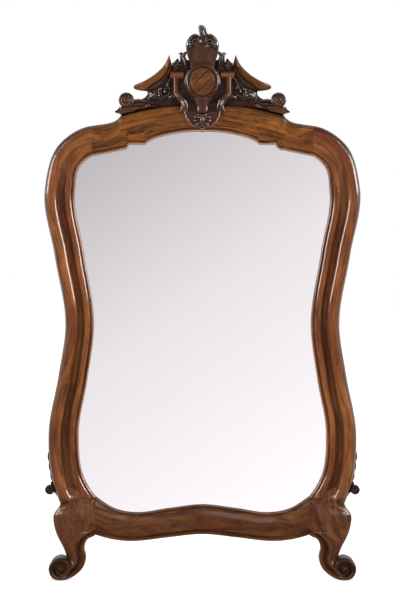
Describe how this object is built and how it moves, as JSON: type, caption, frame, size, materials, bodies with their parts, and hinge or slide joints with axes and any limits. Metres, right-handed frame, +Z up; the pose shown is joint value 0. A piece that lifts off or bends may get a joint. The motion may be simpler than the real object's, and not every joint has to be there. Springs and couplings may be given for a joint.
{
  "type": "carved wood mirror",
  "caption": "Tall mirror in a serpentine moulded walnut frame with scroll feet, a carved broken-pediment crest, an oval boss and hinged hanging rings on the back.",
  "frame": {"origin": "centre of the bounding box's footprint, on the plane the two scroll feet stand on", "axes": "+Z up the mirror, +X to the viewer's right, -Y the way the mirror faces, so the back faces +Y"},
  "size_m": [0.9526, 0.094, 1.665],
  "materials": {
    "walnut": "French-polished walnut, red-brown",
    "figured_walnut": "French-polished figured walnut, honey brown with dark streaks",
    "dark_walnut": "dark stained and polished walnut carving",
    "pine": "unfinished aged pine",
    "mirror_glass": "silvered plate glass",
    "steel": "dulled steel",
    "brass": "aged brass wire"
  },
  "bodies": {
    "frame": {"stile_left": "walnut", "stile_right": "walnut", "top_rail": "figured_walnut", "bottom_rail": "figured_walnut", "foot_left": "walnut", "foot_right": "walnut", "side_scroll_left": "dark_walnut", "side_scroll_right": "dark_walnut", "crest_ground": "dark_walnut", "wing_left": "figured_walnut", "wing_right": "figured_walnut", "end_volute_left": "dark_walnut", "end_volute_right": "dark_walnut", "foliage_left": "dark_walnut", "foliage_right": "dark_walnut", "rosette_left": "dark_walnut", "rosette_right": "dark_walnut", "bracket_left": "walnut", "bracket_right": "walnut", "cartouche": "walnut", "cartouche_head": "dark_walnut", "oval_ring": "walnut", "oval_boss": "figured_walnut", "finial": "dark_walnut", "pendant": "dark_walnut", "crest_blocks": "pine", "dowels_crest": "pine", "dowels_shoulder": "pine", "dowels_bottom_rail": "pine", "dowels_foot": "pine", "mirror_plate": "mirror_glass", "glazing_blocks": "pine", "backboard_left": "pine", "backboard_middle": "pine", "backboard_right": "pine", "backboard_screws": "steel", "hanger_left": "steel", "hanger_right": "steel", "hanger_screws": "steel"},
    "hanging_ring_left": {"ring_left": "brass"},
    "hanging_ring_right": {"ring_right": "brass"}
  },
  "joints": [
    {"name": "ring_left_hinge", "type": "hinge", "parent": "frame", "child": "hanging_ring_left", "pos_m": [-0.44565, 0.0425, 1.12], "axis": [1, 0, 0], "range_deg": [0, 180]},
    {"name": "ring_right_hinge", "type": "hinge", "parent": "frame", "child": "hanging_ring_right", "pos_m": [0.44565, 0.0425, 1.12], "axis": [1, 0, 0], "range_deg": [0, 180]}
  ]
}
